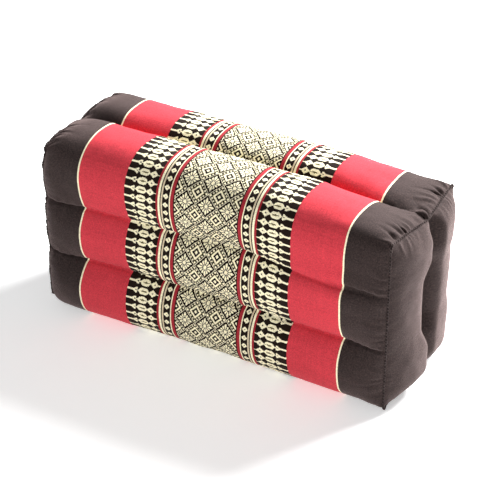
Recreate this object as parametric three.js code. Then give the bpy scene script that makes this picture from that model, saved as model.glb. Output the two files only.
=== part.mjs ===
// Block cushion of six stuffed channels, standing on its long narrow side.
// X runs along the channels, Y through the depth with the front at -Y, Z is up.
// The origin is on the floor under the middle. All sizes are millimetres.
import * as THREE from 'three';
import { mergeVertices } from 'three/addons/utils/BufferGeometryUtils.js';

// End seam: the sewn outline that closes each end of the wrap cloth
const LENGTH = 346.6;
const END_DEPTH = 121;
const END_HEIGHT = 163;
const SEAM_LIFT = 5;
const TOP_SEAM_OUT = 5;
const FLOOR_SEAM_OUT = 2;
const SEAM_DIP = 4;

// Radius by which a corner of the end seam is tucked in, at the left and at the right end
const CORNER_TUCKS = {
  topFront: { left: 3, right: 3 },
  topBack: { left: 4, right: 3 },
  floorFront: { left: 14, right: 2 },
  floorBack: { left: 14, right: 16 },
};

// Sewn lines between the channels, heights over the end seam's lower edge
const NOTCH_HIGH = 112.7;
const NOTCH_LOW = 58.7;
const NOTCH_IN = 0;
const MIDDLE_CROWN = 10;

// The high sewn line loosens towards the right end, where the channels bulge as one
const LOOSE_FROM = 30;
const LOOSE_LENGTH = 90;
const LOOSE_HEIGHT = 24;
const LOOSE_OUT = 7;

// Groove between the front and the back row of channels, above and below
const GROOVE_Y = 2;
const TOP_GROOVE_Z = 159;
const FLOOR_GROOVE_Z = 16;

// Corner channels: centre of each section, and its reach towards the outside, towards
// the groove, up or down to its crown, and towards the sewn line at its side
const CORNER_CHANNELS = {
  topFront: { y: 28, z: 142, outside: 40, groove: 32.5, crown: 35, side: 50 },
  topBack: { y: 31, z: 142, outside: 39.5, groove: 31.5, crown: 35, side: 50 },
  floorFront: { y: 28, z: 35, outside: 43, groove: 32.5, crown: 43, side: 36 },
  floorBack: { y: 31, z: 35, outside: 40, groove: 31.5, crown: 43, side: 36 },
};
const TOP_FULLNESS = 2.3;
const FLOOR_FULLNESS = 2.6;
const GROOVE_FULLNESS = 3;

// The floor channels are fuller towards the ends than in the middle
const FLOOR_FULLER_LEFT = 4.5;
const FLOOR_FULLER_RIGHT = 1;
const FULLER_FROM = 30;
const FULLER_LENGTH = 90;
const FULLER_RISE = 2;

// Distance from each end seam over which the channels swell to their full section
const SWELL_LEFT = 42;
const SWELL_RIGHT = 56;
const SWELL_RIGHT_TOP = 130;
const SWELL_POWER = 2.4;

// End faces: two upright puffs with a sewn groove between them
const FRONT_PUFF = 7.5;
const BACK_PUFF = 5;
const PUFF_EDGE = 24;
const GROOVE_EDGE = 20;
const FACE_GROOVE_IN = 6;

// End panels: sheets over the end faces, with a seam edge that stands proud all round
const PANEL_THICKNESS = 2.2;
const CLEARANCE = 0.55;
const SEAM_RIDGE = 2;

// Facets, and the distance below which two points are one
const CORNER_STEPS = 15;
const MIDDLE_STEPS = 8;
const FACE_STEPS = 6;
const STATIONS = 22;
const SAME_POINT = 1e-3;

// Heights that follow from the sizes above
const seamTop = SEAM_LIFT + END_HEIGHT;
const middleZ = SEAM_LIFT + END_HEIGHT / 2;
const halfLength = LENGTH / 2;
const halfDepth = END_DEPTH / 2;
const notchY = halfDepth - NOTCH_IN;
const highNotchZ = SEAM_LIFT + NOTCH_HIGH;
const lowNotchZ = SEAM_LIFT + NOTCH_LOW;

const mix = (a, b, t) => a + (b - a) * t;
const mixPoint = (a, b, t) => [mix(a[0], b[0], t), mix(a[1], b[1], t)];

// Rises from 0 to 1 and is level at its end
const roundedRise = (t) => 1 - (1 - Math.min(1, Math.max(0, t))) ** 2;

// A corner channel's section in [y, z] at t, from the groove (0) round to its side notch (1).
// side is -1 at the front and 1 at the back; up is 1 for an upper channel, -1 for a lower one.
function cornerArc(channel, side, up, t) {
  const centreZ = channel.z + SEAM_LIFT;
  const grooveZ = up > 0 ? TOP_GROOVE_Z + SEAM_LIFT : FLOOR_GROOVE_Z;
  const notchZ = up > 0 ? highNotchZ : lowNotchZ;
  if (t === 0) return [GROOVE_Y, grooveZ];
  if (t === 1) return [side * notchY, notchZ];
  const grooveAcross = (channel.y + side * GROOVE_Y) / channel.groove;
  const grooveAt = Math.atan2(up * (grooveZ - centreZ) / channel.crown, grooveAcross);
  const notchAt = Math.atan2(up * (notchZ - centreZ) / channel.side, (channel.y - notchY) / channel.outside);
  const angle = mix(grooveAt, notchAt + 2 * Math.PI, t);
  const outside = up > 0 ? TOP_FULLNESS : FLOOR_FULLNESS;
  const fullness = angle < Math.PI / 2 ? GROOVE_FULLNESS : outside;
  const power = angle > Math.PI ? 1 : 2 / fullness;
  const across = Math.sign(Math.cos(angle)) * Math.abs(Math.cos(angle)) ** power;
  const along = Math.sign(Math.sin(angle)) * Math.abs(Math.sin(angle)) ** power;
  const reachY = across > 0 ? channel.groove : channel.outside;
  const reachZ = along > 0 ? channel.crown : channel.side;
  return [side * (channel.y - reachY * across), Math.max(0, centreZ + up * reachZ * along)];
}

// A middle channel's section at t: one circular arc from the high notch (0) to the low one (1)
function middleArc(side, t) {
  const chord = NOTCH_HIGH - NOTCH_LOW;
  const radius = (chord * chord / 4 + MIDDLE_CROWN * MIDDLE_CROWN) / (2 * MIDDLE_CROWN);
  const halfAngle = Math.asin(chord / 2 / radius);
  const angle = mix(halfAngle, -halfAngle, t);
  const y = side * (notchY + radius * (Math.cos(angle) - Math.cos(halfAngle)));
  return [y, (highNotchZ + lowNotchZ) / 2 + radius * Math.sin(angle)];
}

// The end seam over a corner channel at t: half of the upper edge, which dips towards its
// middle, then down to the notch. toCorner is the distance to the seam's corner.
function seamCorner(side, up, t) {
  const drop = up > 0 ? seamTop - highNotchZ : lowNotchZ - SEAM_LIFT;
  const along = t * (drop + halfDepth);
  const y = side * Math.min(along, halfDepth);
  const dip = SEAM_DIP * (1 - Math.abs(y) / halfDepth) ** 2;
  const upper = along < halfDepth ? seamTop - dip : seamTop - (along - halfDepth);
  return { seam: [y, up > 0 ? upper : 2 * middleZ - upper], toCorner: Math.abs(along - halfDepth) };
}

// One side of the girth from the top groove to the floor groove. Each place holds its point
// of the full section, its point of the end seam, and the name of its corner channel.
function halfGirth(side) {
  const top = side < 0 ? 'topFront' : 'topBack';
  const floor = side < 0 ? 'floorFront' : 'floorBack';
  const places = [];
  for (let i = 0; i < CORNER_STEPS; i += 1) {
    const t = i / CORNER_STEPS;
    const full = cornerArc(CORNER_CHANNELS[top], side, 1, t);
    places.push({ full, channel: top, ...seamCorner(side, 1, t) });
  }
  for (let i = 0; i < MIDDLE_STEPS; i += 1) {
    const t = i / MIDDLE_STEPS;
    const seam = [side * halfDepth, mix(highNotchZ, lowNotchZ, t)];
    places.push({ full: middleArc(side, t), channel: 'middle', seam, toCorner: halfDepth });
  }
  for (let i = 0; i <= CORNER_STEPS; i += 1) {
    const t = 1 - i / CORNER_STEPS;
    const full = cornerArc(CORNER_CHANNELS[floor], side, -1, t);
    places.push({ full, channel: floor, ...seamCorner(side, -1, t) });
  }
  return places;
}

// Whole girth: down the front and up the back, each groove place only once
const front = halfGirth(-1);
const back = halfGirth(1);
const girth = [...front, ...back.slice(1, -1).reverse()];

// The end seam's point in [y, z] at a place, tucked in at its corner. end is 1 at +X, -1 at -X.
function seamPoint(place, end) {
  const [y, z] = place.seam;
  const tucks = CORNER_TUCKS[place.channel];
  if (!tucks) return [y, z];
  const radius = end > 0 ? tucks.right : tucks.left;
  const inset = (1 - Math.SQRT1_2) * radius * Math.max(0, 1 - place.toCorner / radius) ** 2;
  return [y - Math.sign(y) * inset, z - Math.sign(z - middleZ) * inset];
}

// How far the end seam stands out over its corners, at [y, z]
function seamShift([y, z]) {
  const out = mix(FLOOR_SEAM_OUT, TOP_SEAM_OUT, (z - SEAM_LIFT) / END_HEIGHT);
  return out * (1 - Math.abs(y) / halfDepth);
}

// A place's point of the full section at x along the cushion, in [y, z]
function fullPoint(place, x) {
  const [y, z] = place.full;
  const nearNotch = Math.max(0, 1 - ((z - highNotchZ) / LOOSE_HEIGHT) ** 2);
  const loose = Math.min(1, Math.max(0, (x - LOOSE_FROM) / LOOSE_LENGTH));
  const low = Math.max(0, 1 - z / lowNotchZ) * Math.abs(y) / halfDepth;
  const nearEnd = Math.min(1, Math.max(0, (Math.abs(x) - FULLER_FROM) / FULLER_LENGTH));
  const fuller = (x > 0 ? FLOOR_FULLER_RIGHT : FLOOR_FULLER_LEFT) * Math.min(1, FULLER_RISE * low) * nearEnd;
  const looser = LOOSE_OUT * nearNotch * nearNotch * loose;
  return [y + Math.sign(y) * (looser + fuller), z];
}

// The wrap's point at a place of the girth, x along the cushion
function wrapPoint(place, x) {
  const upper = place.channel === 'topFront' || place.channel === 'topBack';
  const swollen = (distance, length) => 1 - Math.max(0, 1 - distance / length) ** SWELL_POWER;
  const right = swollen(halfLength - x, upper ? SWELL_RIGHT_TOP : SWELL_RIGHT);
  const rise = swollen(halfLength + x, SWELL_LEFT) * right;
  const seam = seamPoint(place, Math.sign(x));
  const [y, z] = mixPoint(seam, fullPoint(place, x), rise);
  const shift = seamShift(seam) * Math.max(0, 1 - (halfLength - Math.abs(x)) / SWELL_LEFT);
  return new THREE.Vector3(x + Math.sign(x) * shift, y, z);
}

// A point of an end face: on the row of the girth's place index, from the face's groove
// (r = 0) out to the seam (r = 1)
function facePoint(places, index, r, end) {
  const last = places.length - 1;
  const [seamY, seamZ] = seamPoint(places[index], end);
  const grooveZ = mix(places[0].seam[1], places[last].seam[1], index / last);
  const rowLength = Math.hypot(seamY, seamZ - grooveZ);
  const fromGroove = roundedRise(r * rowLength / GROOVE_EDGE);
  const fromSeam = roundedRise((1 - r) * rowLength / PUFF_EDGE);
  const groove = FACE_GROOVE_IN * Math.sin(Math.PI * index / last) * (1 - fromGroove) * fromSeam;
  const [y, z] = [seamY * r, mix(grooveZ, seamZ, r)];
  const puff = (places === front ? FRONT_PUFF : BACK_PUFF) * fromGroove * fromSeam;
  return [halfLength + seamShift([y, z]) + puff - groove, y, z];
}

// Triangles of a grid of points; those that have shrunk to a line are left out
function addGrid(target, rows) {
  const apart = (a, b) => a.distanceTo(b) > SAME_POINT;
  const addTriangle = (a, b, c) => {
    if (apart(a, b) && apart(b, c) && apart(c, a)) target.push(a, b, c);
  };
  for (let i = 0; i + 1 < rows.length; i += 1) {
    for (let j = 0; j + 1 < rows[i].length; j += 1) {
      const [a, b, c, d] = [rows[i][j], rows[i][j + 1], rows[i + 1][j + 1], rows[i + 1][j]];
      addTriangle(a, b, c);
      addTriangle(a, c, d);
    }
  }
}

// Both halves of an end face, moved out along X by offset. end is 1 at +X and -1 at -X.
function addFace(target, offset, end) {
  for (const [side, places] of [[-1, front], [1, back]]) {
    const rows = places.map((place, index) => {
      const row = [];
      for (let k = 0; k <= FACE_STEPS; k += 1) {
        const r = Math.sin(Math.PI / 2 * k / FACE_STEPS);
        const [x, y, z] = facePoint(places, index, r, end);
        row.push(new THREE.Vector3(end * (x + offset), y, z));
      }
      return row;
    });
    if (side * end > 0) rows.reverse();
    addGrid(target, rows);
  }
}

function toGeometry(points) {
  const merged = mergeVertices(new THREE.BufferGeometry().setFromPoints(points), SAME_POINT);
  merged.computeVertexNormals();
  return merged;
}

// Filled body: the wrap cloth over its six stuffed channels, closed at both ends
function filledBody() {
  const points = [];
  const rows = [];
  for (let i = 0; i <= STATIONS; i += 1) {
    const x = -halfLength * Math.cos(Math.PI * i / STATIONS);
    const row = girth.map((place) => wrapPoint(place, x));
    rows.push([...row, row[0]]);
  }
  addGrid(points, rows);
  addFace(points, 0, 1);
  addFace(points, 0, -1);
  return toGeometry(points);
}

// Outline of the end seam in [y, z], grown outwards by width
function seamOutline(width, end) {
  const outline = girth.map((place) => seamPoint(place, end));
  return outline.map(([y, z], i) => {
    const before = outline[(i + outline.length - 1) % outline.length];
    const after = outline[(i + 1) % outline.length];
    const outward = new THREE.Vector2(after[1] - before[1], before[0] - after[0]).normalize();
    return [y + outward.x * width, z + outward.y * width];
  });
}

// End panel: a sheet over one end face, with its sewn edge turned out as a ridge
function endPanel(end) {
  const under = CLEARANCE;
  const over = CLEARANCE + PANEL_THICKNESS;
  const points = [];
  addFace(points, over, end);
  const inner = [];
  addFace(inner, under, end);
  points.push(...inner.reverse());
  const ring = (width, offset) => {
    const row = seamOutline(width, end).map(([y, z], i) => {
      const seamX = halfLength + seamShift(seamPoint(girth[i], end));
      return new THREE.Vector3(end * (seamX + offset), y, z);
    });
    return [...row, row[0]];
  };
  const rim = [ring(0, under), ring(SEAM_RIDGE, under), ring(SEAM_RIDGE, over), ring(0, over)];
  if (end < 0) rim.reverse();
  addGrid(points, rim);
  return toGeometry(points);
}

function piece(name, geometry, color, roughness) {
  const mesh = new THREE.Mesh(geometry, new THREE.MeshStandardMaterial({ color, roughness, metalness: 0 }));
  mesh.name = name;
  return mesh;
}

const cushion = new THREE.Group();
cushion.add(piece('filled_body', filledBody(), 0xd8424e, 0.9));
cushion.add(piece('end_panel_right', endPanel(1), 0x5c5351, 0.95));
cushion.add(piece('end_panel_left', endPanel(-1), 0x5c5351, 0.95));

export default cushion;
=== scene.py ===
"""Looks of the block cushion: a wrap cloth over six stuffed channels, two end panels and their sewn edges.

Sizes in this script are millimetres and become metres when a mesh is made. The frame is the CAD's:
X along the channels, Y through the depth with the front at -Y, Z up, the origin on the floor.
"""

import math

import bpy
import numpy as np
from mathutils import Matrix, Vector, noise


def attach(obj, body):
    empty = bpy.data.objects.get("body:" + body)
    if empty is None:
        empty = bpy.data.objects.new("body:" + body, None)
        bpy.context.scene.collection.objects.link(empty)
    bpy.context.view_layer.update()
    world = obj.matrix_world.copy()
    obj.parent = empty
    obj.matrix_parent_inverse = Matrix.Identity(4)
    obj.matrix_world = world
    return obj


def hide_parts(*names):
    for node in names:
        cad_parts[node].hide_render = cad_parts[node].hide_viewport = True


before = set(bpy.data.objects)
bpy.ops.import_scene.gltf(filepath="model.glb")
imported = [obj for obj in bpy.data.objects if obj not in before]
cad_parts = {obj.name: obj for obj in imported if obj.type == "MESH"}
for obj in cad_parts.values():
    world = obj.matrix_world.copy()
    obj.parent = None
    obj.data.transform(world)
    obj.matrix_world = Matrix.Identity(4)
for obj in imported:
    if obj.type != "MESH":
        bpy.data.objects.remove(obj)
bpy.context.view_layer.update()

MM = 0.001

# Camera at the photograph's viewpoint, with a picture of 500 by 500 pixels
PICTURE = 500
AZIMUTH = 30.2
ELEVATION = 31.1
DISTANCE = 1509.0
FOCAL_PIXELS = 1655.0
LOOK_AT = (5.25, 0.0, 82.1)
SENSOR = 36.0

# End seam
LENGTH = 346.6
END_DEPTH = 121.0
END_HEIGHT = 163.0
SEAM_LIFT = 5.0
TOP_SEAM_OUT = 5.0
FLOOR_SEAM_OUT = 2.0
SEAM_DIP = 4.0
CORNER_TUCKS = {
    "topFront": (3, 3),
    "topBack": (4, 3),
    "floorFront": (14, 2),
    "floorBack": (14, 16),
}
NO_TUCK = 0.001

# Channels
NOTCH_HIGH = 112.7
NOTCH_LOW = 58.7
MIDDLE_CROWN = 10.0
LOOSE_FROM = 30.0
LOOSE_LENGTH = 90.0
LOOSE_HEIGHT = 24.0
LOOSE_OUT = 7.0
GROOVE_Y = 2.0
TOP_GROOVE_Z = 159.0
FLOOR_GROOVE_Z = 16.0
CORNER_CHANNELS = {
    "topFront": dict(y=28.0, z=142.0, outside=40.0, groove=32.5, crown=35.0, side=50.0),
    "topBack": dict(y=31.0, z=142.0, outside=39.5, groove=31.5, crown=35.0, side=50.0),
    "floorFront": dict(y=28.0, z=35.0, outside=43.0, groove=32.5, crown=43.0, side=36.0),
    "floorBack": dict(y=31.0, z=35.0, outside=40.0, groove=31.5, crown=43.0, side=36.0),
}
TOP_FULLNESS = 2.3
FLOOR_FULLNESS = 2.6
GROOVE_FULLNESS = 3.0
FLOOR_FULLER_LEFT = 4.5
FLOOR_FULLER_RIGHT = 1.0
FULLER_FROM = 30.0
FULLER_LENGTH = 90.0
FULLER_RISE = 2.0
SWELL_LEFT = 42.0
SWELL_RIGHT = 56.0
SWELL_RIGHT_TOP = 130.0
SWELL_POWER = 2.4

# The left end is fuller: its seam rises over each top channel and stands further out below the top corner
LEFT_SEAM_RISE_FRONT = 5.0
LEFT_SEAM_RISE_BACK = 7.5
LEFT_SEAM_DIP = 6.5
LEFT_ARCH_POWER = 0.8
LEFT_DIP_OUT = 4.5
LEFT_DIP_POWER = 1.5
LEFT_SEAM_OUT = 4.6
LEFT_SEAM_OUT_BELOW = 22.0
LEFT_SCALLOP = 1.6
LEFT_SCALLOP_REACH = 9.0

# End faces
FRONT_PUFF = 13.5
BACK_PUFF = 11.0
PUFF_SIDE = 44.0
BACK_PUFF_SIDE = 26.0
PUFF_TOP = 20.0
PUFF_FLOOR = 18.0
PUFF_POWER = 0.75
FACE_GROOVE_Y = 5.0
FACE_GROOVE_EDGE = 17.0
FACE_GROOVE_IN = 9.0
PINCH_LOW = 54.0
PINCH_HIGH = 122.0
PINCH_EDGE = 22.0
PINCH_SHIFT = 1.0
PINCH_WIDTH = 25.0
PINCH_IN = 18.0
PINCH_FLATTER = 0.22
LOWER_FULLER = 0.16
FACE_RELAX = 80

# Cloth rolling over each end seam: how far out, how soon, and how far along the cushion
EDGE_ROLL = 4.5
EDGE_ROLL_START = 5.0
EDGE_ROLL_REACH = 22.0

# Rounding of the wrap's four corners near an end seam: passes, how soon, how far along and round, and step
CORNER_SOFT_PASSES = 16
CORNER_SOFT_FROM = 7.0
CORNER_SOFT_TO = 70.0
CORNER_SOFT_REACH = 32.0
CORNER_SOFT_STEP = 0.5

# Bends of the front's two sewn lines along the cushion: height, middle and reach of each
HIGH_BENDS = [(4.5, 28.0, 48.0), (-4.0, -172.0, 45.0)]
LOW_BENDS = [(0.8, 10.0, 60.0), (-4.0, -172.0, 50.0)]
BEND_REACH = 20.0
BEND_FROM = 0.6

# Grid of the simulated cloth: steps over each stretch of the girth, and along the cushion
EDGE_STEPS = 29
SIDE_STEPS = 25
MIDDLE_STEPS = 22
STATIONS = 92
DENSE = 600
EVEN_SHARE = 0.45
CROWDED_SHARE = 0.55

# Where the dark end cloth begins on the wrap
END_CLOTH_FROM = 134.0

# Grid of the finished cloth
GIRTH_SPLIT = 2
FINE_STATIONS = 176
FACE_SPLIT = 2

SEAM_TOP = SEAM_LIFT + END_HEIGHT
MIDDLE_Z = SEAM_LIFT + END_HEIGHT / 2
HALF_LENGTH = LENGTH / 2
HALF_DEPTH = END_DEPTH / 2
HIGH_Z = SEAM_LIFT + NOTCH_HIGH
LOW_Z = SEAM_LIFT + NOTCH_LOW


def rounded_rise(t):
    return 1 - (1 - np.clip(t, 0, 1)) ** 2


def soft_step(t):
    t = np.clip(t, 0, 1)
    return t * t * (3 - 2 * t)


def mix(a, b, t):
    return a + (b - a) * t


def outward(yz):
    """Unit vectors in y, z that point out of a closed ring of places."""
    along = np.roll(yz, -1, 0) - np.roll(yz, 1, 0)
    out = np.stack([along[:, 1], -along[:, 0]], -1)
    return out / np.maximum(np.linalg.norm(out, axis=1, keepdims=True), 1e-6)


def corner_arc(name, side, up, t):
    """A corner channel's section at t, from the groove (0) to its side notch (1), as rows of y, z."""
    c = CORNER_CHANNELS[name]
    centre = c["z"] + SEAM_LIFT
    groove_z = TOP_GROOVE_Z + SEAM_LIFT if up > 0 else FLOOR_GROOVE_Z
    notch_z = HIGH_Z if up > 0 else LOW_Z
    groove_at = math.atan2(up * (groove_z - centre) / c["crown"], (c["y"] + side * GROOVE_Y) / c["groove"])
    notch_at = math.atan2(up * (notch_z - centre) / c["side"], (c["y"] - HALF_DEPTH) / c["outside"])
    angle = mix(groove_at, notch_at + 2 * math.pi, t)
    outside = TOP_FULLNESS if up > 0 else FLOOR_FULLNESS
    power = np.where(angle > math.pi, 1.0, np.where(angle < math.pi / 2, 2 / GROOVE_FULLNESS, 2 / outside))
    across = np.sign(np.cos(angle)) * np.abs(np.cos(angle)) ** power
    along = np.sign(np.sin(angle)) * np.abs(np.sin(angle)) ** power
    reach_y = np.where(across > 0, c["groove"], c["outside"])
    reach_z = np.where(along > 0, c["crown"], c["side"])
    y = side * (c["y"] - reach_y * across)
    z = np.maximum(0, centre + up * reach_z * along)
    y = np.where(t <= 0, GROOVE_Y, np.where(t >= 1, side * HALF_DEPTH, y))
    z = np.where(t <= 0, groove_z, np.where(t >= 1, notch_z, z))
    return np.stack([y, z], -1)


def middle_arc(side, t):
    """A middle channel's section at t, one arc from the high notch (0) to the low one (1)."""
    chord = NOTCH_HIGH - NOTCH_LOW
    radius = (chord * chord / 4 + MIDDLE_CROWN * MIDDLE_CROWN) / (2 * MIDDLE_CROWN)
    half = math.asin(chord / 2 / radius)
    angle = mix(half, -half, t)
    y = side * (HALF_DEPTH + radius * (np.cos(angle) - math.cos(half)))
    return np.stack([y, (HIGH_Z + LOW_Z) / 2 + radius * np.sin(angle)], -1)


def seam_corner(side, up, t):
    """The end seam over a corner channel at t, and the distance to the seam's corner."""
    drop = SEAM_TOP - HIGH_Z if up > 0 else LOW_Z - SEAM_LIFT
    along = t * (drop + HALF_DEPTH)
    y = side * np.minimum(along, HALF_DEPTH)
    dip = SEAM_DIP * (1 - np.abs(y) / HALF_DEPTH) ** 2
    upper = np.where(along < HALF_DEPTH, SEAM_TOP - dip, SEAM_TOP - (along - HALF_DEPTH))
    z = upper if up > 0 else 2 * MIDDLE_Z - upper
    return np.stack([y, z], -1), np.abs(along - HALF_DEPTH)


def even_steps(arc, start, stop, steps):
    """Values of t from start to stop that lie evenly along an arc."""
    t = np.linspace(start, stop, DENSE)
    far = np.concatenate([[0], np.cumsum(np.linalg.norm(np.diff(arc(t), axis=0), axis=1))])
    return np.interp(np.linspace(0, far[-1], steps + 1), far, t)


def corner_rows(name, side, up, turn):
    """A corner channel's places: section, end seam, distance to the seam's corner, and channel name."""
    arc = lambda t: corner_arc(name, side, up, t)
    t = np.concatenate([even_steps(arc, 0, turn, EDGE_STEPS), even_steps(arc, turn, 1, SIDE_STEPS)[1:]])
    t = t[:-1] if up > 0 else t[::-1]
    seam, to_corner = seam_corner(side, up, t)
    return list(zip(arc(t), seam, to_corner, [name] * len(t)))


class Girth:
    """The places round the girth: down the front from the top groove, then up the back."""

    def __init__(self):
        self.full, self.seam, self.to_corner, self.channel = [], [], [], []
        for side in (-1, 1):
            rows = self.half(side)
            if side > 0:
                rows = rows[-2:0:-1]
            for full, seam, to_corner, channel in rows:
                self.full.append(full)
                self.seam.append(seam)
                self.to_corner.append(to_corner)
                self.channel.append(channel)
        self.full = np.array(self.full)
        self.seam = np.array(self.seam)
        self.to_corner = np.array(self.to_corner)
        self.count = len(self.full)
        closed = np.vstack([self.full, self.full[:1]])
        self.v = np.concatenate([[0], np.cumsum(np.linalg.norm(np.diff(closed, axis=0), axis=1))])

    def half(self, side):
        """Rows of one side from the top groove down to the floor groove."""
        top, floor = ("topFront", "floorFront") if side < 0 else ("topBack", "floorBack")
        turn_up = HALF_DEPTH / (SEAM_TOP - HIGH_Z + HALF_DEPTH)
        turn_low = HALF_DEPTH / (LOW_Z - SEAM_LIFT + HALF_DEPTH)
        rows = corner_rows(top, side, 1, turn_up)
        t = np.linspace(0, 1, MIDDLE_STEPS + 1)[:-1]
        seam = np.stack([np.full(len(t), side * HALF_DEPTH), mix(HIGH_Z, LOW_Z, t)], -1)
        rows += list(zip(middle_arc(side, t), seam, np.full(len(t), HALF_DEPTH), ["middle"] * len(t)))
        return rows + corner_rows(floor, side, -1, turn_low)

    def seam_points(self, end):
        """The end seam in y, z, tucked in at its corners. end is 1 at +X and -1 at -X."""
        tucks = {k: v[1] if end > 0 else v[0] for k, v in CORNER_TUCKS.items()}
        radius = np.array([tucks.get(c, NO_TUCK) for c in self.channel], float)
        inset = (1 - math.sqrt(0.5)) * radius * np.clip(1 - self.to_corner / radius, 0, None) ** 2
        y, z = self.seam[:, 0], self.seam[:, 1]
        z = z - np.sign(z - MIDDLE_Z) * inset
        if end < 0:
            arch = np.sin(math.pi * np.clip(np.abs(y) / HALF_DEPTH, 0, 1)) ** LEFT_ARCH_POWER
            on_top = soft_step((z - HIGH_Z) / (SEAM_TOP - SEAM_DIP - HIGH_Z))
            rise = np.where(y < 0, LEFT_SEAM_RISE_FRONT, LEFT_SEAM_RISE_BACK) * arch
            z = z + (rise - LEFT_SEAM_DIP * np.clip(1 - np.abs(y) / HALF_DEPTH, 0, 1) ** 2) * on_top
        return np.stack([y - np.sign(y) * inset, z], -1)

    def full_points(self, x):
        """The section of the filled channels at x, in y, z."""
        y, z = self.full[:, 0], self.full[:, 1]
        near_notch = np.clip(1 - ((z - HIGH_Z) / LOOSE_HEIGHT) ** 2, 0, None)
        loose = min(1, max(0, (x - LOOSE_FROM) / LOOSE_LENGTH))
        low = np.clip(1 - z / LOW_Z, 0, None) * np.abs(y) / HALF_DEPTH
        near_end = min(1, max(0, (abs(x) - FULLER_FROM) / FULLER_LENGTH))
        fuller = FLOOR_FULLER_RIGHT if x > 0 else FLOOR_FULLER_LEFT
        fuller = fuller * np.minimum(1, FULLER_RISE * low) * near_end
        bent = sum(
            bend_at(bends, x) * np.exp(-(((z - line) / BEND_REACH) ** 2))
            for bends, line in ((HIGH_BENDS, HIGH_Z), (LOW_BENDS, LOW_Z))
        )
        bent = np.where(y < -HALF_DEPTH * BEND_FROM, bent, 0)
        return np.stack([y + np.sign(y) * (LOOSE_OUT * near_notch**2 * loose + fuller), z + bent], -1)

    def wrap_points(self, x, least_rise=0.0):
        """The wrap's ring of points at x along the cushion."""
        upper = np.array([c in ("topFront", "topBack") for c in self.channel])
        swollen = lambda far, reach: 1 - np.clip(1 - far / reach, 0, None) ** SWELL_POWER
        right = swollen(HALF_LENGTH - x, np.where(upper, SWELL_RIGHT_TOP, SWELL_RIGHT))
        rise = np.maximum(least_rise, swollen(HALF_LENGTH + x, SWELL_LEFT) * right)
        seam = self.seam_points(np.sign(x))
        yz = mix(seam, self.full_points(x), rise[:, None])
        far = HALF_LENGTH - abs(x)
        roll = EDGE_ROLL * (1 - math.exp(-far / EDGE_ROLL_START)) * math.exp(-((far / EDGE_ROLL_REACH) ** 2))
        yz = yz + outward(yz) * roll
        soft = (1 - math.exp(-((far / CORNER_SOFT_FROM) ** 2))) * math.exp(-((far / CORNER_SOFT_TO) ** 2))
        near = soft_step((CORNER_SOFT_REACH - self.to_corner) / CORNER_SOFT_REACH)[:, None]
        soft = CORNER_SOFT_STEP * soft * near
        for _ in range(CORNER_SOFT_PASSES):
            yz = yz + soft * ((np.roll(yz, 1, 0) + np.roll(yz, -1, 0)) / 2 - yz)
        yz[:, 1] = np.maximum(yz[:, 1], 0)
        shift = seam_shift(seam, np.sign(x)) * max(0, 1 - far / SWELL_LEFT)
        return np.column_stack([x + np.sign(x) * shift, yz])


def bend_at(bends, x):
    return sum(rise * math.exp(-(((x - middle) / reach) ** 2)) for rise, middle, reach in bends)


def seam_shift(yz, end):
    """How far the end seam stands out, over its corners and along the left end's sides."""
    z = yz[..., 1]
    out = mix(FLOOR_SEAM_OUT, TOP_SEAM_OUT, np.clip((z - SEAM_LIFT) / END_HEIGHT, 0, 1))
    inwards = np.clip(1 - np.abs(yz[..., 0]) / HALF_DEPTH, 0, 1)
    out = out * inwards
    if end < 0:
        scallop = sum(np.exp(-(((z - line) / LEFT_SCALLOP_REACH) ** 2)) for line in (HIGH_Z, LOW_Z))
        out = out + LEFT_SEAM_OUT * soft_step((SEAM_TOP - z) / LEFT_SEAM_OUT_BELOW) - LEFT_SCALLOP * scallop
        out = out + LEFT_DIP_OUT * inwards**LEFT_DIP_POWER * soft_step((z - HIGH_Z) / (SEAM_TOP - HIGH_Z))
    return out


def end_spread(count):
    """Stations along the cushion, closer together towards both ends."""
    s = np.linspace(-1, 1, count + 1)
    return HALF_LENGTH * (EVEN_SHARE * s + CROWDED_SHARE * np.sin(s * math.pi / 2))


def face_grid(outline):
    """A grid over the area inside a closed outline, blended from its four sides, top row first."""
    across, down = 2 * EDGE_STEPS, 2 * SIDE_STEPS + MIDDLE_STEPS
    n = len(outline)

    def ring(start, stop):
        step = 1 if stop > start else -1
        return outline[np.arange(start, stop + step, step) % n]

    top = ring(EDGE_STEPS, -EDGE_STEPS)
    left = ring(EDGE_STEPS, EDGE_STEPS + down)
    bottom = ring(EDGE_STEPS + down, EDGE_STEPS + down + across)
    right = ring(n - EDGE_STEPS, EDGE_STEPS + down + across)
    s, t = np.linspace(0, 1, across + 1)[None, :, None], np.linspace(0, 1, down + 1)[:, None, None]
    blend = (1 - t) * top[None] + t * bottom[None] + (1 - s) * left[:, None] + s * right[:, None]
    corners = (1 - s) * (1 - t) * top[0] + s * (1 - t) * top[-1]
    corners = corners + (1 - s) * t * bottom[0] + s * t * bottom[-1]
    grid = blend - corners
    for _ in range(FACE_RELAX):
        grid[1:-1, 1:-1] = (grid[2:, 1:-1] + grid[:-2, 1:-1] + grid[1:-1, 2:] + grid[1:-1, :-2]) / 4
    return grid


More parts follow.
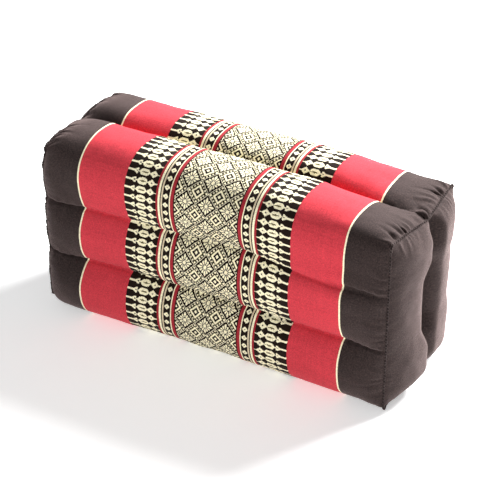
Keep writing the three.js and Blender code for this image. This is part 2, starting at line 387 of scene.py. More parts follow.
def face_points(outline, end):
    """The end face's grid of points, with its two puffs and the groove between them."""
    yz = face_grid(outline)
    y, z = yz[..., 0], yz[..., 1]
    across = (y - y[:, :1]) / (y[:, -1:] - y[:, :1])
    down = (z[:1] - z) / (z[:1] - z[-1:])
    puff_side = np.where(across < 0.5, PUFF_SIDE, BACK_PUFF_SIDE)
    side_rise = rounded_rise((0.5 - np.abs(across - 0.5)) * END_DEPTH / puff_side)
    top_rise = rounded_rise(down * END_HEIGHT / PUFF_TOP)
    floor_rise = rounded_rise((1 - down) * END_HEIGHT / PUFF_FLOOR)
    from_seam = (side_rise * top_rise * floor_rise) ** PUFF_POWER
    pinch = soft_step((z - PINCH_LOW) / PINCH_EDGE + 0.5) * soft_step((PINCH_HIGH - z) / PINCH_EDGE + 0.5)
    groove_y = FACE_GROOVE_Y - PINCH_SHIFT * pinch
    from_groove = rounded_rise(np.abs(y - groove_y) / mix(FACE_GROOVE_EDGE, PINCH_WIDTH, pinch))
    front = y < groove_y
    fuller = 1 + LOWER_FULLER * np.where(front, 1, -1) * (down * 2 - 1)
    height = np.where(front, FRONT_PUFF, BACK_PUFF) * fuller * (1 - PINCH_FLATTER * pinch)
    puff = height * from_groove * from_seam
    groove = mix(FACE_GROOVE_IN, PINCH_IN, pinch) * (1 - from_groove) * from_seam
    x = HALF_LENGTH + seam_shift(yz, end) + puff - groove
    return np.concatenate([end * x[..., None], yz], -1)


def cubic_rows(values, at):
    """Catmull-Rom interpolation of rows of points at places along their index."""
    last = len(values) - 1
    i = np.clip(np.floor(at).astype(int), 0, last - 1)
    f = (at - i).reshape(-1, *([1] * (values.ndim - 1)))
    padded = np.concatenate([2 * values[:1] - values[1:2], values, 2 * values[-1:] - values[-2:-1]])
    p0, p1, p2, p3 = (padded[i + k] for k in range(4))
    return p1 + 0.5 * f * (p2 - p0 + f * (2 * p0 - 5 * p1 + 4 * p2 - p3 + f * (3 * (p1 - p2) + p3 - p0)))


def mesh_object(name, points, faces, uv=None):
    """A smooth mesh object from points in millimetres; uv holds a row for each corner of each face."""
    mesh = bpy.data.meshes.new(name)
    mesh.from_pydata([tuple(p) for p in np.asarray(points) * MM], [], [tuple(map(int, f)) for f in faces])
    if uv is not None:
        layer = mesh.uv_layers.new(name="cloth")
        layer.data.foreach_set("uv", np.asarray(uv, np.float32).ravel())
    mesh.polygons.foreach_set("use_smooth", [True] * len(mesh.polygons))
    mesh.update()
    obj = bpy.data.objects.new(name, mesh)
    bpy.context.scene.collection.objects.link(obj)
    return obj


def grid_faces(rows, columns, closed=False, flip=False):
    """Faces of a grid of rows by columns points; closed joins the last column to the first."""
    i, j = np.meshgrid(np.arange(rows - 1), np.arange(columns if closed else columns - 1), indexing="ij")
    k = (j + 1) % columns
    quads = np.stack([i * columns + j, (i + 1) * columns + j, (i + 1) * columns + k, i * columns + k], -1)
    quads = quads.reshape(-1, 4)
    return quads[:, ::-1] if flip else quads


def boundary_index(rows, columns):
    """For each edge point of an end face's grid, the girth place that it is sewn to; -1 inside."""
    n = 2 * (rows + columns - 2)
    place = np.full((rows, columns), -1)
    s, t = np.arange(columns), np.arange(rows)
    place[0, :] = (EDGE_STEPS - s) % n
    place[:, 0] = EDGE_STEPS + t
    place[-1, :] = EDGE_STEPS + rows - 1 + s
    place[:, -1] = n - EDGE_STEPS - t
    return place


def closed_mesh(wrap, ends):
    """One mesh of the wrap and both end faces, sewn along the seams: points, faces and index grids."""
    rings, places = wrap.shape[:2]
    points = [wrap.reshape(-1, 3)]
    index = {0: np.arange(rings * places).reshape(rings, places)}
    quads = [grid_faces(rings, places, closed=True, flip=True)]
    count = rings * places
    for end, ring in ((-1, 0), (1, rings - 1)):
        face = ends[end]
        place = boundary_index(*face.shape[:2])
        inside = place < 0
        grid = np.zeros(place.shape, int)
        grid[inside] = count + np.arange(inside.sum())
        grid[~inside] = index[0][ring][place[~inside]]
        count += int(inside.sum())
        points.append(face[inside])
        index[end] = grid
        flat = grid.ravel()[grid_faces(*place.shape)]
        quads.append(flat[:, ::-1] if end < 0 else flat)
    return np.vstack(points), np.vstack(quads), index


# Places of the sewn lines round the girth: top groove, front high and low, floor groove, back low and high
CORNER_STEPS = EDGE_STEPS + SIDE_STEPS
SEWN_PLACES = np.cumsum([0, CORNER_STEPS, MIDDLE_STEPS, CORNER_STEPS, CORNER_STEPS, MIDDLE_STEPS]).tolist()

# Filling: frames, spare cloth, how far a point may move from the drawn shape, and what is held
FRAMES = 18
SPARE_AT_SEAM = 0.6
MOVE_CAP = 4.0
GROOVE_COLUMNS = slice(24, 38)
GROOVE_FREE = 10
HOLD = 0.15
FACE_SPARE = 1.03
FILLING = dict(
    quality=6, mass=0.2,
    tension_stiffness=25, compression_stiffness=25, shear_stiffness=8, bending_stiffness=0.1,
    tension_damping=8, compression_damping=8, shear_damping=8, bending_damping=0.5, air_damping=2,
    use_pressure=True, uniform_pressure_force=14.0, pin_stiffness=1.0,
)


def cut_shape(points, wrap, index):
    """The cloth as it was cut, with some spare; it gives the simulation its rest lengths."""
    stations = wrap[:, :, 0].mean(1)
    slack = np.array([girth.wrap_points(x, SPARE_AT_SEAM) for x in stations])
    steps = np.linalg.norm(np.diff(wrap, axis=0), axis=2).mean(1)
    far = np.concatenate([[0], np.cumsum(steps)])
    slack[:, :, 0] = (far - far[-1] / 2)[:, None]
    rest = points.copy()
    rest[: slack.size // 3] = slack.reshape(-1, 3)
    for end, ring in ((-1, 0), (1, -1)):
        inner = index[end][1:-1, 1:-1].ravel()
        rest[inner, 0] += slack[ring, :, 0].mean() - wrap[ring, :, 0].mean()
        middle = rest[inner].mean(0)
        rest[inner] = middle + (rest[inner] - middle) * FACE_SPARE
    return rest


def hold_weights(count, ends, index):
    """How firmly each point is held: fully on the sewn lines, the end seams and the end faces' grooves."""
    hold = np.full(count, HOLD)
    for place in SEWN_PLACES:
        hold[index[0][:, place]] = 1.0
    hold[index[0][0]] = 1.0
    hold[index[0][-1]] = 1.0
    for end in (-1, 1):
        grid = index[end]
        deepest = (end * ends[end][..., 0])[:, GROOVE_COLUMNS].argmin(1) + GROOVE_COLUMNS.start
        for row in range(GROOVE_FREE, len(grid) - GROOVE_FREE):
            hold[grid[row, deepest[row]]] = 1.0
    return hold


def fill_with_pressure(wrap, ends):
    """Swells the sewn cloth with Blender's Cloth and returns the moved wrap and end faces."""
    points, quads, index = closed_mesh(wrap, ends)
    obj = mesh_object("cloth_in_making", points, quads)
    obj.shape_key_add(name="Basis")
    key = obj.shape_key_add(name="cut")
    key.data.foreach_set("co", (cut_shape(points, wrap, index) * MM).astype(np.float32).ravel())
    key.value = 0.0
    hold = hold_weights(len(points), ends, index)
    group = obj.vertex_groups.new(name="hold")
    for weight in np.unique(hold):
        group.add(np.nonzero(hold == weight)[0].tolist(), float(weight), "REPLACE")
    cloth = obj.modifiers.new("Cloth", "CLOTH")
    for name, value in FILLING.items():
        setattr(cloth.settings, name, value)
    cloth.settings.vertex_group_mass = "hold"
    cloth.settings.rest_shape_key = key
    cloth.settings.effector_weights.gravity = 0
    cloth.collision_settings.use_collision = False
    cloth.collision_settings.use_self_collision = False
    scene = bpy.context.scene
    cloth.point_cache.frame_start, cloth.point_cache.frame_end = 1, FRAMES
    for frame_number in range(1, FRAMES + 1):
        scene.frame_set(frame_number)
    evaluated = obj.evaluated_get(bpy.context.evaluated_depsgraph_get())
    moved = np.zeros(len(points) * 3, np.float32)
    evaluated.data.vertices.foreach_get("co", moved)
    moved = moved.reshape(-1, 3) / MM
    scene.frame_set(1)
    bpy.data.objects.remove(obj)
    step = moved - points
    size = np.linalg.norm(step, axis=1, keepdims=True)
    step *= np.minimum(1, MOVE_CAP / np.maximum(size, 1e-6))
    moved = points + step
    return moved[index[0]], {end: moved[index[end]] for end in (-1, 1)}


# The cushion before it is filled
girth = Girth()
stations = end_spread(STATIONS)
wrap = np.array([girth.wrap_points(x) for x in stations])
ends = {end: face_points(girth.seam_points(end), end) for end in (-1, 1)}
wrap, ends = fill_with_pressure(wrap, ends)

# Sewn creases of the channels, gathers at the end seams, and unevenness of the filling
CREASE_DEPTH = 1.7
CREASE_WIDTH = 1.5
PUCKER = 0.32
PUCKER_PITCH = 8.5
PUCKER_REACH = 7.0
PUCKER_DRIFT = 1.7
PUCKER_DRIFT_REACH = 23.0
GATHER_SEED = 11
GATHER_PITCH = (4.0, 7.4)
GATHER_LENGTH = (4.5, 15.0)
GATHER_TOP = (1.5, 2.8)
GATHER_SIDE = (0.3, 0.8)
GATHER_WIDTH = (1.3, 2.2)
GATHER_SLANT = 0.35
GATHER_TURNS = [-1.0, -1.0, 0.8]
GATHER_ON_PANEL = 0.32
UNEVEN = [(30.0, 0.9), (11.0, 0.3)]
SEAM_STAY = 1.8


def surface_normals(grid, closed=False):
    """Unit normals of a grid of points; they point out of the wrap."""
    along = np.gradient(grid, axis=0)
    around = np.roll(grid, -1, 1) - np.roll(grid, 1, 1) if closed else np.gradient(grid, axis=1)
    normal = np.cross(around, along)
    return normal / np.maximum(np.linalg.norm(normal, axis=2, keepdims=True), 1e-9)


def unevenness(grid):
    """Soft height over a grid of points, as stuffing leaves it."""
    values = [
        sum(size * noise.noise(Vector(p) / reach) for reach, size in UNEVEN) for p in grid.reshape(-1, 3)
    ]
    return np.array(values).reshape(grid.shape[:2])


def make_gathers(total, top_places, seed):
    """Seeded folds along an end seam: (place, width, length, height, slant) of each."""
    random = np.random.default_rng(seed)
    folds, at = [], 0.0
    while at < total:
        on_top = at < top_places[0] or at > top_places[1]
        low, high = GATHER_TOP if on_top else GATHER_SIDE
        folds.append((
            at, random.uniform(*GATHER_WIDTH), random.uniform(*GATHER_LENGTH),
            random.uniform(low, high) * random.choice(GATHER_TURNS),
            random.uniform(-GATHER_SLANT, GATHER_SLANT),
        ))
        at += random.uniform(*GATHER_PITCH)
    return folds


def gathered(folds, total, at, far):
    """Height of the folds at a place along the seam and a distance from it."""
    height = np.zeros(np.broadcast(at, far).shape)
    for place, width, length, size, slant in folds:
        off = at - place - slant * far
        off = off - total * np.round(off / total)
        height += size * np.exp(-((off / width) ** 2)) * np.exp(-((far / length) ** 2))
    return height * (1 - np.exp(-far / SEAM_STAY))


# Finished wrap: a finer grid, with its creases and gathers
fine_u = end_spread(FINE_STATIONS)
for edge in (-END_CLOTH_FROM, END_CLOTH_FROM):
    fine_u[np.abs(fine_u - edge).argmin()] = edge
station_at = np.interp(fine_u, stations, np.arange(STATIONS + 1))
ring = np.concatenate([wrap[:, -2:], wrap, wrap[:, :3]], axis=1).swapaxes(0, 1)
place_at = 2 + np.arange(girth.count * GIRTH_SPLIT) / GIRTH_SPLIT
fine = cubic_rows(ring, place_at).swapaxes(0, 1)
fine = cubic_rows(fine, station_at)
round_at = np.arange(girth.count * GIRTH_SPLIT + 1) / GIRTH_SPLIT
fine_v = np.interp(round_at, np.arange(girth.count + 1), girth.v)
rows, columns = fine.shape[:2]

round_length = girth.v[-1]
corner_front, corner_back = girth.v[EDGE_STEPS], girth.v[girth.count - EDGE_STEPS]
folds = {end: make_gathers(round_length, (corner_front, corner_back), GATHER_SEED + end) for end in (-1, 1)}
far_left, far_right = (HALF_LENGTH + fine_u)[:, None], (HALF_LENGTH - fine_u)[:, None]
near_seam = np.minimum(far_left, far_right)
lift = unevenness(fine)
place_v = fine_v[None, :-1]
for place in SEWN_PLACES:
    off = place_v - girth.v[place]
    off = off - round_length * np.round(off / round_length)
    drift = PUCKER_DRIFT * np.sin(fine_u[:, None] / PUCKER_DRIFT_REACH + place)
    wave = np.sin(fine_u[:, None] * (2 * math.pi / PUCKER_PITCH) + drift)
    crease = CREASE_DEPTH * np.exp(-np.abs(off) / CREASE_WIDTH)
    lift = lift - crease + PUCKER * wave * np.exp(-((off / PUCKER_REACH) ** 2))
lift = lift * (1 - np.exp(-near_seam / SEAM_STAY))
for end, far in ((-1, far_left), (1, far_right)):
    lift = lift + gathered(folds[end], round_length, place_v, far)
fine = fine + surface_normals(fine, closed=True) * lift[..., None]
fine[..., 2] = np.maximum(fine[..., 2], 0)
quads = grid_faces(rows, columns, closed=True, flip=True)
r, c = quads // columns, quads % columns
wraps_round = (c == 0) & ((c.max(1) == columns - 1)[:, None])
v = fine_v[np.where(wraps_round, columns, c)]
at_end = np.abs(fine_u[r]).min(1) > END_CLOTH_FROM - 0.01
cover = mesh_object("wrap_cover", fine.reshape(-1, 3), quads, np.stack([fine_u[r], v], -1).reshape(-1, 2))

# End panels, from the end faces' grids
panels = {}
for end, name in ((-1, "end_panel_left_cloth"), (1, "end_panel_right_cloth")):
    grid = ends[end]
    t = np.arange((grid.shape[0] - 1) * FACE_SPLIT + 1) / FACE_SPLIT
    s = np.arange((grid.shape[1] - 1) * FACE_SPLIT + 1) / FACE_SPLIT
    dense = cubic_rows(cubic_rows(grid, t).swapaxes(0, 1), s).swapaxes(0, 1)
    seam = fine[0 if end < 0 else -1]
    far_squared = ((dense[:, :, None] - seam[None, None]) ** 2).sum(-1)
    nearest = far_squared.argmin(-1)
    far = np.sqrt(far_squared.min(-1))
    lift = unevenness(dense) * (1 - np.exp(-far / SEAM_STAY))
    lift += GATHER_ON_PANEL * gathered(folds[end], round_length, fine_v[nearest], far)
    dense = dense + surface_normals(dense) * (end * lift)[..., None]
    quads = grid_faces(*dense.shape[:2], flip=end < 0)
    flat = dense.reshape(-1, 3)
    panels[end] = mesh_object(name, flat, quads, flat[quads][..., 1:].reshape(-1, 2))

# Sewn edges: the rolled allowance along each end seam, with its overcast thread
EDGE_STEP = 0.62
EDGE_OUT = 0.1
EDGE_TALL = 0.9
EDGE_WIDE = 0.9
EDGE_SIDES = 10
EDGE_EAR = 1.3
EDGE_EAR_WIDE = 0.3
EDGE_EAR_REACH = 4.5
STITCH_PITCH = 3.1
STITCH_DIP = 0.4
STITCH_SEED = 31
STITCH_VARIES = 0.5
THREAD_RADIUS = 0.27
THREAD_OUT = 0.4
THREAD_TURN = 1.9
THREAD_SLANT = 0.7
THREAD_STEPS = 9
THREAD_SIDES = 5


def edge_frames(end):
    """Even places along an end seam, their directions out and aside, and how far each is from a corner."""
    seam = fine[0 if end < 0 else -1]
    out = outward(seam[:, 1:])
    to_corner = np.append(girth.to_corner, girth.to_corner[0])
    corner = np.interp(np.arange(columns) / GIRTH_SPLIT, np.arange(girth.count + 1), to_corner)
    closed = np.vstack([seam, seam[:1]])
    far = np.concatenate([[0], np.cumsum(np.linalg.norm(np.diff(closed, axis=0), axis=1))])
    count = int(round(far[-1] / STITCH_PITCH)) * int(round(STITCH_PITCH / EDGE_STEP))
    at = np.linspace(0, far[-1], count, endpoint=False)
    table = np.column_stack([seam, out, corner])
    table = np.vstack([table, table[:1]])
    even = np.column_stack([np.interp(at, far, column) for column in table.T])
    lean = even[:, 3:5]
    away = np.column_stack([np.full(count, float(end)), lean])
    aside = np.column_stack([np.full(count, float(end)), -lean])
    unit = lambda vectors: vectors / np.linalg.norm(vectors, axis=1, keepdims=True)
    return even[:, :3], unit(away), unit(aside), even[:, 5]


def tube_between(rings, closed):
    """Faces of a run of rings of points."""
    n, sides = rings.shape[:2]
    i, j = np.meshgrid(np.arange(n if closed else n - 1), np.arange(sides), indexing="ij")
    i2, j2 = (i + 1) % n, (j + 1) % sides
    return np.stack([i * sides + j, i2 * sides + j, i2 * sides + j2, i * sides + j2], -1).reshape(-1, 4)


def sewn_edge(end):
    """The rolled edge and the threads round it, as two lists of points and faces."""
    place, away, aside, corner = edge_frames(end)
    ear = np.exp(-((corner / EDGE_EAR_REACH) ** 2))
    per_stitch = int(round(STITCH_PITCH / EDGE_STEP))
    phase = np.arange(len(place)) * (2 * math.pi / per_stitch)
    random = np.random.default_rng(STITCH_SEED + end)
    size = 1 + STITCH_VARIES * random.uniform(-1, 1, len(place) // per_stitch)
    size = np.repeat(size, per_stitch)
    tall = EDGE_TALL * size * (1 + STITCH_DIP * np.cos(phase)) + EDGE_EAR / 2 * ear
    wide = EDGE_WIDE * (1 + STITCH_DIP * np.cos(phase)) + EDGE_EAR_WIDE * ear
    centre = place + away * (EDGE_OUT + EDGE_EAR / 2 * ear)[:, None]
    turn = np.linspace(0, 2 * math.pi, EDGE_SIDES, endpoint=False)

    def section(where, angle, grow):
        out = (tall[where][..., None] + grow) * np.cos(angle)
        over = (wide[where][..., None] + grow) * np.sin(angle)
        middle = centre[where][..., None, :] + away[where][..., None, :] * out[..., None]
        return middle + aside[where][..., None, :] * over[..., None]

    edge = section(np.arange(len(place)), turn, 0.0)
    edge[..., 2] = np.maximum(edge[..., 2], 0)
    edge_faces = tube_between(edge, True)
    points, faces = [], []
    arc = np.linspace(-THREAD_TURN, THREAD_TURN, THREAD_STEPS)
    for k in range(per_stitch // 2, len(place) - 1, per_stitch):
        path = section(k, arc, THREAD_RADIUS * THREAD_OUT)
        along = (place[(k + 1) % len(place)] - place[k]) / EDGE_STEP
        path = path + along * (THREAD_SLANT * arc / THREAD_TURN)[:, None]
        normal = path - centre[k]
        normal /= np.linalg.norm(normal, axis=1, keepdims=True)
        circle = np.linspace(0, 2 * math.pi, THREAD_SIDES, endpoint=False)
        around = normal[:, None] * np.cos(circle)[None, :, None] + along * np.sin(circle)[None, :, None]
        ring = path[:, None] + THREAD_RADIUS * around
        ring[..., 2] = np.maximum(ring[..., 2], 0)
        faces.append(tube_between(ring, False) + sum(len(p) for p in points))
        points.append(ring.reshape(-1, 3))
    return (edge.reshape(-1, 3), edge_faces), (np.vstack(points), np.vstack(faces))


edges, threads = {}, {}
for end, side in ((-1, "left"), (1, "right")):
    edge, thread = sewn_edge(end)
    edges[end] = mesh_object("sewn_edge_" + side, *edge)
    threads[end] = mesh_object("edge_thread_" + side, *thread)


# Woven pattern: widths of its stripes from the middle outwards, in millimetres
LATTICE_EDGE = 32.0
NARROW_STRIPES = [
    (32.0, "black"), (32.8, "deep_red"), (36.0, "cream"), (36.9, "black"), (44.2, "dull_cream"),
    (45.4, "black"), (46.5, "cream"), (48.5, "deep_red"), (50.8, "black"),
]
COMB_INNER = 51.0
COMB_OUTER = 83.6
CREAM_LINE = 132.4
DIAMOND_CENTRE = 40.65

# Repeats of the pattern, along the cushion and round its girth, and where they start
FLOWER_ALONG = 21.33
FLOWER_ROUND = 21.6
FLOWER_START = 66.6
ROW_ROUND = 8.1
ROW_START = 72.1
WEFT_SKEW = 0.0265

# One cell of the lattice, from the flower's middle (0) to the concentric figure's (2)
PETAL_TO = 0.74
PETAL_ROUND = 0.6
PETAL_GAP = 0.017
PETAL_GAP_FROM = 0.075
SPOT = (0.085, 0.125)
SPOT_WIDTH = 0.02
LATTICE_LINE = (0.95, 1.012)
BEADS = (1.09, 1.28)
BEAD_PITCH = 0.193
RIM = (1.33, 1.39)
RING = (1.41, 1.62)
HEART_FROM = 1.84

# Diamonds of the narrow band: where it lies, and their height, reach, cut tips and hole
DIAMOND_BAND = (36.9, 44.2)
DIAMOND_TALL = 1.12
DIAMOND_REACH = 3.1
DIAMOND_TIP = 2.6
DIAMOND_HOLE = 0.65

# Threads, how far they and the figures stand up, and how much their brightness varies
THREAD_ALONG = 0.53
THREAD_ROUND = 0.6
THREAD_HEIGHT = 0.10
MOTIF_HEIGHT = 0.12
WRAP_SHADE = 0.55
PLAIN_SHADE = 1.1
SHADE_SHARES = (0.12, 0.16, 0.72)
MOTTLE = 0.16
MOTTLE_SCALE = 0.05
FLECKS = 2.0
FLECK_SCALE = 0.7

# Colours of the yarns, as linear RGB
YARNS = {
    "black": (0.010, 0.0036, 0.0014),
    "cream": (0.98, 0.90, 0.63),
    "dull_cream": (0.70, 0.58, 0.40),
    "olive": (0.12, 0.10, 0.03),
    "deep_red": (0.36, 0.022, 0.032),
    "red": (0.60, 0.045, 0.062),
    "charcoal": (0.0242, 0.015, 0.0138),
    # Rolled edge and overcast thread: their own charcoal colour, made darker than the end cloth as painted
    # shade of the sewn seam
    "edge": (0.017, 0.0112, 0.0102),
    "thread": (0.019, 0.0124, 0.0112),
}

# Half height of a comb figure at a distance from its outer edge, the curve's full scale, and how much fuller
COMB_FIGURE = [
    (0.0, 0.85), (6.2, 0.85), (9.2, 2.4), (10.4, 2.2), (10.7, 0.45), (11.6, 0.5), (13.4, 2.3), (14.8, 2.9),
    (19.4, 2.9), (21.0, 2.2), (22.2, 0.4), (22.8, 0.5), (26.6, 3.2), (30.3, 0.5), (32.6, 0.3),
]
COMB_TOP = 4.0
COMB_FULLER = 1.07

# Small diamonds in a comb figure: place, half length and half width; and its notch
COMB_SLIT = (17.5, 4.2, 0.85)
COMB_DOT = (26.7, 1.1, 0.75)
COMB_NOTCH = (8.6, 9.9)
COMB_NOTCH_HALF = 0.35

# Finish of the cloths, as values of the shader's inputs
WRAP_FINISH = {"Roughness": 0.88, "Specular IOR Level": 0.12, "Sheen Weight": 0.06, "Sheen Roughness": 0.5}
PLAIN_FINISH = {
    "Roughness": 0.9, "Specular IOR Level": 0.2,
    "Sheen Weight": 0.24, "Sheen Tint": (1.0, 0.74, 0.71, 1), "Sheen Roughness": 0.5,
}
WEAVE_BUMP = 0.8
FIBRE_BUMP = 0.6
FIBRE_HEIGHT = 0.3
FIBRE_SHADE = 1.1
EDGE_FIBRES = 900.0
THREAD_FIBRES = 2500.0


class Field:
    """A value that varies over the cloth; arithmetic on it adds Math nodes to its tree."""

    def __init__(self, tree, socket):
        self.tree, self.socket = tree, socket

    def math(self, operation, *others):
        node = self.tree.nodes.new("ShaderNodeMath")
        node.operation = operation
        for slot, value in zip(node.inputs, (self, *others)):
            if isinstance(value, Field):
                self.tree.links.new(value.socket, slot)
            else:
                slot.default_value = value
        return Field(self.tree, node.outputs[0])

    def __add__(self, other):
        return self.math("ADD", other)

    def __sub__(self, other):
        return self.math("SUBTRACT", other)

    def __mul__(self, other):
        return self.math("MULTIPLY", other)

    def __lt__(self, other):
        return self.math("LESS_THAN", other)

    def __gt__(self, other):
        return self.math("GREATER_THAN", other)

    def __and__(self, other):
        return self.math("MULTIPLY", other)

    def __or__(self, other):
        return self.math("MAXIMUM", other)

    def __abs__(self):
        return self.math("ABSOLUTE")

    def outside(self):
        """1 where this mask is 0."""
        return (self * -1.0) + 1.0

    def within(self, low, high):
        return (self > low) & (self < high)

    def from_whole(self):
        """Distance to the nearest whole number, with its sign."""
        return self - self.math("ROUND")


def node_with(tree, kind, links=(), **settings):
    """A new node with its settings made and its inputs linked or set, by name or number."""
    node = tree.nodes.new(kind)
    for key, value in settings.items():
        setattr(node, key, value)
    for key, value in dict(links).items():
        if isinstance(value, Field):
            tree.links.new(value.socket, node.inputs[key])
        elif isinstance(value, bpy.types.NodeSocket):
            tree.links.new(value, node.inputs[key])
        else:
            node.inputs[key].default_value = value
    return node


def cloth_axes(tree):
    """The cloth's own coordinates in millimetres, along the cushion and round it."""
    uv = node_with(tree, "ShaderNodeUVMap", uv_map="cloth")
    parts = node_with(tree, "ShaderNodeSeparateXYZ", {0: uv.outputs[0]})
    return Field(tree, parts.outputs[0]), Field(tree, parts.outputs[1])


def thread_of(value, pitch):
    """(the thread's number, the place across it from 0 to 1)"""
    scaled = value * (1 / pitch)
    number = scaled.math("FLOOR")
    return number, scaled - number


def weave_height(tree, along, round_it):
    """Height of a plain weave, from 0 to 1, with one yarn over the other by turns."""
    i, fi = along
    j, fj = round_it
    turn = ((i + j) * 0.5).math("FRACT") > 0.25
    crown_i = (fi * math.pi).math("SINE")
    crown_j = (fj * math.pi).math("SINE")
    over_i = crown_i * (crown_j * 0.5 + 0.5)
    over_j = crown_j * (crown_i * 0.5 + 0.5)
    return over_i * turn + over_j * turn.outside()


def yarn_shade(tree, i, j, amount, seed):
    """Brightness that differs a little from yarn to yarn and from crossing to crossing, about 1."""

    def dice(a, b):
        vector = node_with(tree, "ShaderNodeCombineXYZ", {0: a, 1: b, 2: seed}).outputs[0]
        white = node_with(tree, "ShaderNodeTexWhiteNoise", {0: vector}, noise_dimensions="3D")
        return Field(tree, white.outputs[0])

    zero = i * 0.0
    by_i, by_j, by_both = SHADE_SHARES
    mixed = dice(i, zero) * by_i + dice(zero + 7.0, j) * by_j + dice(i, j) * by_both
    return (mixed - 0.5) * amount + 1.0


def soft_noise(tree, vector, scale, detail):
    node = node_with(tree, "ShaderNodeTexNoise", {"Vector": vector, "Scale": scale, "Detail": detail})
    return Field(tree, node.outputs[0])


def mix_color(tree, below, color, mask):
    """below with color laid over it where mask is 1."""
    node = node_with(tree, "ShaderNodeMix", data_type="RGBA")
    tree.links.new(mask.socket, node.inputs[0])
    for slot, value in ((6, below), (7, color)):
        if isinstance(value, str):
            node.inputs[slot].default_value = (*YARNS[value], 1)
        else:
            tree.links.new(value, node.inputs[slot])
    return node.outputs[2]


def lattice_masks(u, v):
    """Masks of the diamond lattice with a flower and a concentric figure by turns."""
    across = abs((u * (1 / FLOWER_ALONG)).from_whole())
    down = abs(((v - FLOWER_START) * (1 / FLOWER_ROUND)).from_whole())
    far = (across + down) * 2.0
    edge = (down - across) * (2 * math.pi / BEAD_PITCH)
    blob = edge.math("COSINE") > 0.0
    turn = down.math("ARCTAN2", across) * (6 / math.pi)
    off_petal = abs(turn.from_whole())
    radius = (across * across + down * down).math("SQRT")
    gap = ((off_petal * -1.0 + 0.5) * (math.pi / 6) * radius < PETAL_GAP) & (radius > PETAL_GAP_FROM)
    spot = across.math("MAXIMUM", down).within(*SPOT) & (across.math("MINIMUM", down) < SPOT_WIDTH)
    petal = far + off_petal * off_petal * PETAL_ROUND < PETAL_TO
    flower = petal & gap.outside() & spot.outside()
    beads = far.within(*BEADS) & blob
    figures = flower | beads | far.within(*RING) | (far > HEART_FROM)
    return figures, far.within(*LATTICE_LINE), far.within(*RIM)


def small_diamond(s, w, place, half_length, half_width):
    return w * (1 / half_width) + abs(s - place) * (1 / half_length) < 1.0


def comb_masks(tree, s, w):
    """Masks of the row figures: s from the outer edge inwards, w from the row's middle."""
    length = COMB_FIGURE[-1][0]
    curve = node_with(tree, "ShaderNodeFloatCurve", {"Value": s * (1 / length)})
    points = curve.mapping.curves[0].points
    while len(points) < len(COMB_FIGURE):
        points.new(0.5, 0.5)
    for point, (at, half) in zip(points, COMB_FIGURE):
        point.location = (at / length, half / COMB_TOP)
        point.handle_type = "VECTOR"
    curve.mapping.update()
    half = Field(tree, curve.outputs[0]) * (COMB_TOP * COMB_FULLER)
    notch = (w < COMB_NOTCH_HALF) & s.within(*COMB_NOTCH)
    figure = (w < half) & small_diamond(s, w, *COMB_DOT).outside() & notch.outside()
    return figure, small_diamond(s, w, *COMB_SLIT)


def new_material(name):
    m = bpy.data.materials.new(name)
    m.use_nodes = True
    return m, m.node_tree


def cloth_clouds(tree, u, v):
    """The place on the cloth for a noise, and brightness that varies slowly over the cloth, about 1."""
    place = node_with(tree, "ShaderNodeCombineXYZ", {0: u, 1: v, 2: 0.0}).outputs[0]
    return place, (soft_noise(tree, place, MOTTLE_SCALE, detail=3.0) - 0.5) * MOTTLE + 1.0


def finish_cloth(tree, color, shade, height, bump, distance, finish):
    """Gives the shader its color times shade, its bump and its constant values."""
    shader = tree.nodes["Principled BSDF"]
    scaled = node_with(tree, "ShaderNodeVectorMath", {0: color, "Scale": shade}, operation="SCALE")
    tree.links.new(scaled.outputs[0], shader.inputs["Base Color"])
    relief = node_with(tree, "ShaderNodeBump", {"Height": height, "Strength": bump, "Distance": distance})
    tree.links.new(relief.outputs[0], shader.inputs["Normal"])
    for name, value in finish.items():
        shader.inputs[name].default_value = value


def wrap_material():
    m, tree = new_material("woven_wrap_cloth")
    u, v = cloth_axes(tree)
    i, fi = thread_of(u, THREAD_ALONG)
    j, fj = thread_of(v, THREAD_ROUND)
    u_step = (i + 0.5) * THREAD_ALONG
    v_step = (j + 0.5) * THREAD_ROUND + u_step * WEFT_SKEW
    out = abs(u_step)

    lattice, line, rim = lattice_masks(u_step, v_step)
    in_lattice = out < LATTICE_EDGE
    row = ((v_step - ROW_START) * (1 / ROW_ROUND)).from_whole()
    w = abs(row) * ROW_ROUND
    comb, slit = comb_masks(tree, (out * -1.0) + COMB_OUTER, w)
    in_comb = out.within(COMB_INNER, COMB_OUTER)
    x = abs(out - DIAMOND_CENTRE)
    diamond = (x + w * DIAMOND_TALL < DIAMOND_REACH) & (x.math("MAXIMUM", w) < DIAMOND_TIP)
    diamond = diamond & (x + w > DIAMOND_HOLE)
    raised = (lattice & in_lattice) | (diamond & out.within(*DIAMOND_BAND)) | (comb & in_comb)

    color = mix_color(tree, "black", "cream", raised)
    color = mix_color(tree, color, "cream", line & in_lattice)
    color = mix_color(tree, color, "olive", (rim & in_lattice) | (slit & in_comb))
    for (start, yarn), (stop, _) in zip(NARROW_STRIPES, NARROW_STRIPES[1:]):
        if yarn != "black":
            color = mix_color(tree, color, yarn, out.within(start, stop))
    color = mix_color(tree, color, "red", out > COMB_OUTER)
    color = mix_color(tree, color, "cream", out > CREAM_LINE)

    _, mottle = cloth_clouds(tree, u, v)
    shade = yarn_shade(tree, i, j, WRAP_SHADE, seed=0.0) * mottle
    height = weave_height(tree, (i, fi), (j, fj)) * THREAD_HEIGHT + raised * MOTIF_HEIGHT
    finish_cloth(tree, color, shade, height, WEAVE_BUMP, MM, WRAP_FINISH)
    return m


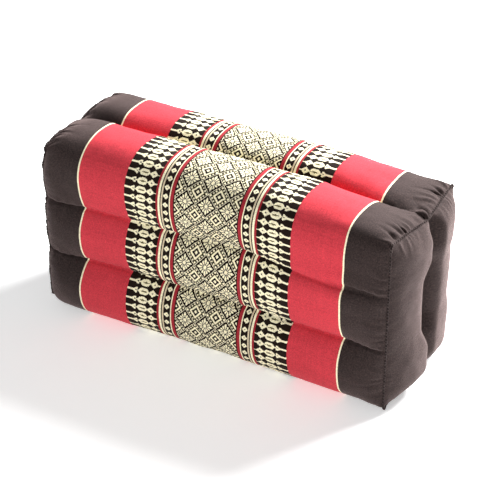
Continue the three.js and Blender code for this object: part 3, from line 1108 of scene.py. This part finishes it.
def plain_cloth_material(name, yarn):
    m, tree = new_material(name)
    u, v = cloth_axes(tree)
    i, fi = thread_of(u, THREAD_ALONG)
    j, fj = thread_of(v, THREAD_ROUND)
    place, mottle = cloth_clouds(tree, u, v)
    flecks = (soft_noise(tree, place, FLECK_SCALE, detail=1.0) - 0.5) * FLECKS + 1.0
    shade = yarn_shade(tree, i, j, PLAIN_SHADE, seed=3.0) * mottle * flecks
    height = weave_height(tree, (i, fi), (j, fj)) * THREAD_HEIGHT
    finish_cloth(tree, YARNS[yarn], shade, height, WEAVE_BUMP, MM, PLAIN_FINISH)
    return m


def spun_material(name, yarn, scale):
    """Cloth or thread without a weave of its own, with fine fibres."""
    m, tree = new_material(name)
    place = node_with(tree, "ShaderNodeTexCoord").outputs["Object"]
    fibre = soft_noise(tree, place, scale, detail=4.0)
    shade = (fibre - 0.5) * FIBRE_SHADE + 1.0
    finish_cloth(tree, YARNS[yarn], shade, fibre, FIBRE_BUMP, FIBRE_HEIGHT * MM, PLAIN_FINISH)
    return m


def floor_material():
    m, tree = new_material("floor_paper")
    shader = tree.nodes["Principled BSDF"]
    shader.inputs["Base Color"].default_value = (0.92, 0.92, 0.92, 1)
    shader.inputs["Emission Color"].default_value = (1, 1, 1, 1)
    shader.inputs["Emission Strength"].default_value = 0.42
    shader.inputs["Roughness"].default_value = 0.8
    return m


end_cloth = plain_cloth_material("plain_end_cloth", "charcoal")
cover.data.materials.append(wrap_material())
cover.data.materials.append(end_cloth)
cover.data.polygons.foreach_set("material_index", at_end.astype(np.int32))
# The rolled edges and their threads carry painted shade of the sewn seam, as yarns darker than the end cloth
edge_cloth = spun_material("rolled_edge_cloth_and_painted_seam_shade", "edge", EDGE_FIBRES)
thread_yarn_with_painted_shade = spun_material("overcast_thread_and_painted_seam_shade", "thread", THREAD_FIBRES)
for end in (-1, 1):
    edges[end].data.materials.append(edge_cloth)
    threads[end].data.materials.append(thread_yarn_with_painted_shade)
for p in panels.values():
    p.data.materials.append(end_cloth)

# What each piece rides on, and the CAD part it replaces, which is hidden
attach(cover, "root")
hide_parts("filled_body")
for end, node in ((-1, "end_panel_left"), (1, "end_panel_right")):
    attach(panels[end], "root")
    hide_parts(node)
    with_pieces = [edges[end], threads[end]]
    for piece in with_pieces:
        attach(piece, "root")

# Floor, in metres
FLOOR_HALF = 4
floor_mesh = bpy.data.meshes.new("floor")
floor_corners = [(x * FLOOR_HALF, y * FLOOR_HALF, 0) for x, y in ((-1, -1), (1, -1), (1, 1), (-1, 1))]
floor_mesh.from_pydata(floor_corners, [], [(0, 1, 2, 3)])
floor = bpy.data.objects.new("floor", floor_mesh)
bpy.context.scene.collection.objects.link(floor)
floor.data.materials.append(floor_material())

# Camera
a, e = math.radians(AZIMUTH), math.radians(ELEVATION)
back = Vector((math.sin(a) * math.cos(e), -math.cos(a) * math.cos(e), math.sin(e)))
camera_data = bpy.data.cameras.new("camera")
camera_data.sensor_width = SENSOR
camera_data.lens = SENSOR * FOCAL_PIXELS / PICTURE
camera_data.clip_end = 50
camera = bpy.data.objects.new("camera", camera_data)
camera.location = (Vector(LOOK_AT) + back * DISTANCE) * MM
camera.rotation_mode = "QUATERNION"
camera.rotation_quaternion = (-back).to_track_quat("-Z", "Y")
bpy.context.scene.collection.objects.link(camera)
bpy.context.scene.camera = camera


# Middle of the cushion, where every light points
LIT_PLACE = (0, 0, 0.09)


def soft_light(name, place, size, power):
    data = bpy.data.lights.new(name, "AREA")
    data.shape = "DISK"
    data.size = size
    data.energy = power
    lamp = bpy.data.objects.new(name, data)
    lamp.location = place
    lamp.rotation_mode = "QUATERNION"
    lamp.rotation_quaternion = (Vector(LIT_PLACE) - Vector(place)).to_track_quat("-Z", "Y")
    bpy.context.scene.collection.objects.link(lamp)


soft_light("key_back_right", (0.45, 0.97, 0.97), 0.6, 74)
soft_light("front_right_low", (0.9, -1.25, 0.16), 0.9, 3.5)
soft_light("front_fill", (-0.3, -1.5, 0.9), 1.2, 6)
world = bpy.data.worlds.new("studio")
world.use_nodes = True
world.node_tree.nodes["Background"].inputs["Color"].default_value = (1, 1, 1, 1)
world.node_tree.nodes["Background"].inputs["Strength"].default_value = 0.3
bpy.context.scene.world = world
bpy.context.scene.view_settings.view_transform = "Standard"

bpy.context.view_layer.update()
